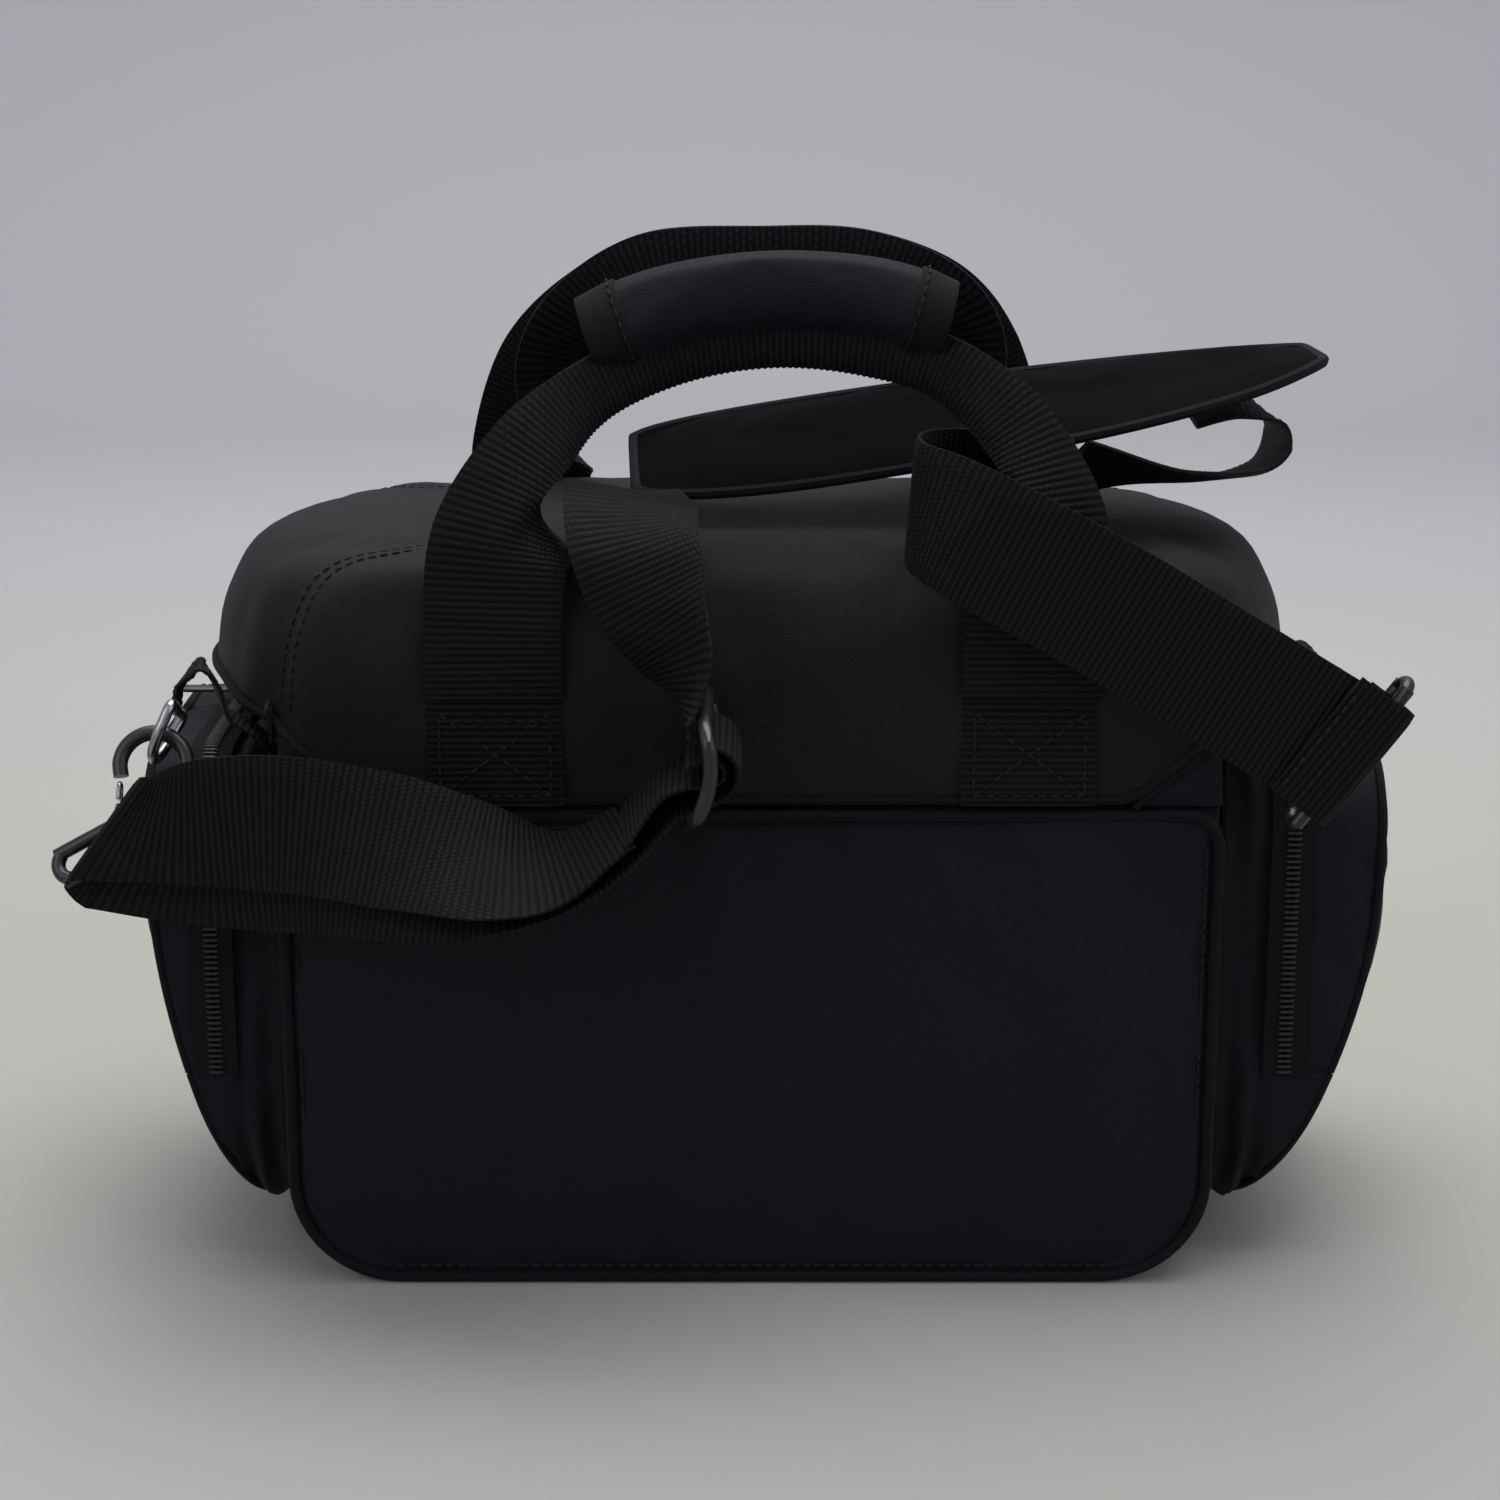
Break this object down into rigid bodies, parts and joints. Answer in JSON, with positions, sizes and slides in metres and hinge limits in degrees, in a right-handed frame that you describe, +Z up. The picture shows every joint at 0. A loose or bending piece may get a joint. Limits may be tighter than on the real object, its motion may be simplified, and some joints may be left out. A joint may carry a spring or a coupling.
{
  "type": "camera bag",
  "caption": "Padded camera shoulder bag with a zipped hinged lid, zipped side and front pockets, webbing carrying handles and a hooked shoulder strap.",
  "frame": {"origin": "on the floor under the middle of the bag's body, in the plane of its underside", "axes": "+Z up, +X to the right when facing the back of the bag, which faces -Y; the front pocket faces +Y"},
  "size_m": [0.3796, 0.2382, 0.2972],
  "materials": {
    "nylon": "plain woven nylon, padded",
    "webbing": "ribbed black webbing",
    "plastic": "moulded black plastic",
    "steel": "bright plated steel",
    "lining": "brushed grey lining over foam"
  },
  "bodies": {
    "body": {"back_panel": "nylon", "front_panel": "nylon", "body_gusset": "nylon", "base_board": "plastic", "left_divider": "lining", "right_divider": "lining", "left_pocket_pouch": "nylon", "right_pocket_pouch": "nylon", "front_pocket_pouch": "nylon", "front_handle_left_anchor": "webbing", "front_handle_right_anchor": "webbing", "left_ring_tab": "webbing", "right_ring_tab": "webbing", "left_hook_frame": "plastic", "right_hook_frame": "plastic", "left_hook_post": "plastic", "right_hook_post": "plastic", "strap_left_return": "webbing", "strap_left_run": "webbing"},
    "lid": {"lid_shell": "nylon", "back_handle_left_anchor": "webbing", "back_handle_right_anchor": "webbing", "shoulder_pad": "nylon", "strap_left_riser": "webbing", "strap_right_loop": "webbing", "strap_right_run": "webbing"},
    "back_handle": {"back_handle": "webbing", "handle_grip": "nylon"},
    "front_handle": {"front_handle": "webbing"},
    "adjuster": {"strap_adjuster": "plastic", "strap_adjuster_bar": "plastic"},
    "left_pocket_cover": {"left_pocket_cover": "nylon"},
    "right_pocket_cover": {"right_pocket_cover": "nylon"},
    "front_pocket_cover": {"front_pocket_cover": "nylon"},
    "left_ring": {"left_d_ring": "steel"},
    "left_hook": {"left_hook_nose": "plastic"},
    "left_gate": {"left_hook_gate": "steel"},
    "right_ring": {"right_d_ring": "steel"},
    "right_hook": {"right_hook_nose": "plastic"},
    "right_gate": {"right_hook_gate": "steel"},
    "lid_zip_left_slider": {"lid_zip_left_slider": "plastic"},
    "lid_zip_left_tab": {"lid_zip_left_pull_tab": "webbing"},
    "lid_zip_right_slider": {"lid_zip_right_slider": "plastic"},
    "lid_zip_right_tab": {"lid_zip_right_pull_tab": "webbing"},
    "left_pocket_zip_slider": {"left_pocket_zip_slider": "plastic"},
    "left_pocket_zip_tab": {"left_pocket_zip_pull_tab": "webbing"},
    "right_pocket_zip_slider": {"right_pocket_zip_slider": "plastic"},
    "right_pocket_zip_tab": {"right_pocket_zip_pull_tab": "webbing"},
    "front_pocket_zip_slider": {"front_pocket_zip_slider": "plastic"},
    "front_pocket_zip_tab": {"front_pocket_zip_pull_tab": "webbing"}
  },
  "joints": [
    {"name": "lid_hinge", "type": "hinge", "parent": "body", "child": "lid", "pos_m": [0, -0.075, 0.145], "axis": [1, 0, 0], "range_deg": [0, 90], "deforming": ["strap_left_return", "strap_left_run", "strap_left_riser", "strap_right_loop", "strap_right_run"]},
    {"name": "back_handle_swing", "type": "hinge", "parent": "lid", "child": "back_handle", "pos_m": [0, -0.079, 0.176], "axis": [1, 0, 0], "range_deg": [0, 75]},
    {"name": "front_handle_swing", "type": "hinge", "parent": "body", "child": "front_handle", "pos_m": [0, 0.079, 0.172], "axis": [-1, 0, 0], "range_deg": [0, 110]},
    {"name": "left_cover_hinge", "type": "hinge", "parent": "body", "child": "left_pocket_cover", "pos_m": [-0.169, 0, 0.058], "axis": [0, -1, 0], "range_deg": [0, 75]},
    {"name": "right_cover_hinge", "type": "hinge", "parent": "body", "child": "right_pocket_cover", "pos_m": [0.1755, 0, 0.058], "axis": [0, 1, 0], "range_deg": [0, 75]},
    {"name": "front_cover_hinge", "type": "hinge", "parent": "body", "child": "front_pocket_cover", "pos_m": [0, 0.106, 0.046], "axis": [-1, 0, 0], "range_deg": [0, 75]},
    {"name": "lid_zip_left_slide", "type": "slide", "parent": "body", "child": "lid_zip_left_slider", "axis": [-1, 0, 0], "range_m": [0, 0.03]},
    {"name": "lid_zip_left_tab_swing", "type": "hinge", "parent": "lid_zip_left_slider", "child": "lid_zip_left_tab", "pos_m": [-0.014, 0.0804, 0.172], "axis": [1, 0, 0], "range_deg": [0, 90]},
    {"name": "lid_zip_right_slide", "type": "slide", "parent": "body", "child": "lid_zip_right_slider", "axis": [1, 0, 0], "range_m": [0, 0.03]},
    {"name": "lid_zip_right_tab_swing", "type": "hinge", "parent": "lid_zip_right_slider", "child": "lid_zip_right_tab", "pos_m": [0.014, 0.0804, 0.172], "axis": [1, 0, 0], "range_deg": [0, 90]},
    {"name": "left_pocket_zip_slide", "type": "slide", "parent": "body", "child": "left_pocket_zip_slider", "axis": [0, 1, 0], "range_m": [-0.04, 0.018]},
    {"name": "left_pocket_zip_tab_swing", "type": "hinge", "parent": "left_pocket_zip_slider", "child": "left_pocket_zip_tab", "pos_m": [-0.1518, 0.012, 0.1574], "axis": [0, 1, 0], "range_deg": [0, 30]},
    {"name": "right_pocket_zip_slide", "type": "slide", "parent": "body", "child": "right_pocket_zip_slider", "axis": [0, 1, 0], "range_m": [-0.04, 0.018]},
    {"name": "right_pocket_zip_tab_swing", "type": "hinge", "parent": "right_pocket_zip_slider", "child": "right_pocket_zip_tab", "pos_m": [0.1518, 0.012, 0.1574], "axis": [0, -1, 0], "range_deg": [0, 30]},
    {"name": "front_pocket_zip_slide", "type": "slide", "parent": "body", "child": "front_pocket_zip_slider", "axis": [1, 0, 0], "range_m": [-0.08, 0.08]},
    {"name": "front_pocket_zip_tab_swing", "type": "hinge", "parent": "front_pocket_zip_slider", "child": "front_pocket_zip_tab", "pos_m": [0, 0.0868, 0.1374], "axis": [1, 0, 0], "range_deg": [0, 90]},
    {"name": "adjuster_slide", "type": "slide", "parent": "lid", "child": "adjuster", "axis": [0.1203, 0, 0.9927], "range_m": [-0.005, 0.005]},
    {"name": "left_ring_swing", "type": "hinge", "parent": "body", "child": "left_ring", "pos_m": [-0.1622, -0.062, 0.169], "axis": [0, -0.893, 0.45], "range_deg": [-6, 6]},
    {"name": "left_hook_swivel", "type": "hinge", "parent": "body", "child": "left_hook", "pos_m": [-0.16979, -0.07675, 0.13978], "axis": [0.0998, 0.449, 0.888], "range_deg": [-8, 8]},
    {"name": "left_gate_spring", "type": "hinge", "parent": "left_hook", "child": "left_gate", "pos_m": [-0.17733, -0.07357, 0.14609], "axis": [0, 0.8924, -0.4512], "range_deg": [0, 15], "stiffness_Nm_per_rad": 0.02},
    {"name": "right_ring_swing", "type": "hinge", "parent": "body", "child": "right_ring", "pos_m": [0.164, -0.062, 0.1735], "axis": [0.7071, -0.7071, 0], "range_deg": [-6, 6]},
    {"name": "right_hook_swivel", "type": "hinge", "parent": "body", "child": "right_hook", "pos_m": [0.16259, -0.07988, 0.16389], "axis": [0, 0.9684, -0.2496], "range_deg": [-4, 8]},
    {"name": "right_gate_spring", "type": "hinge", "parent": "right_hook", "child": "right_gate", "pos_m": [0.16259, -0.07584, 0.15438], "axis": [1, 0, 0], "range_deg": [0, 15], "stiffness_Nm_per_rad": 0.02}
  ]
}
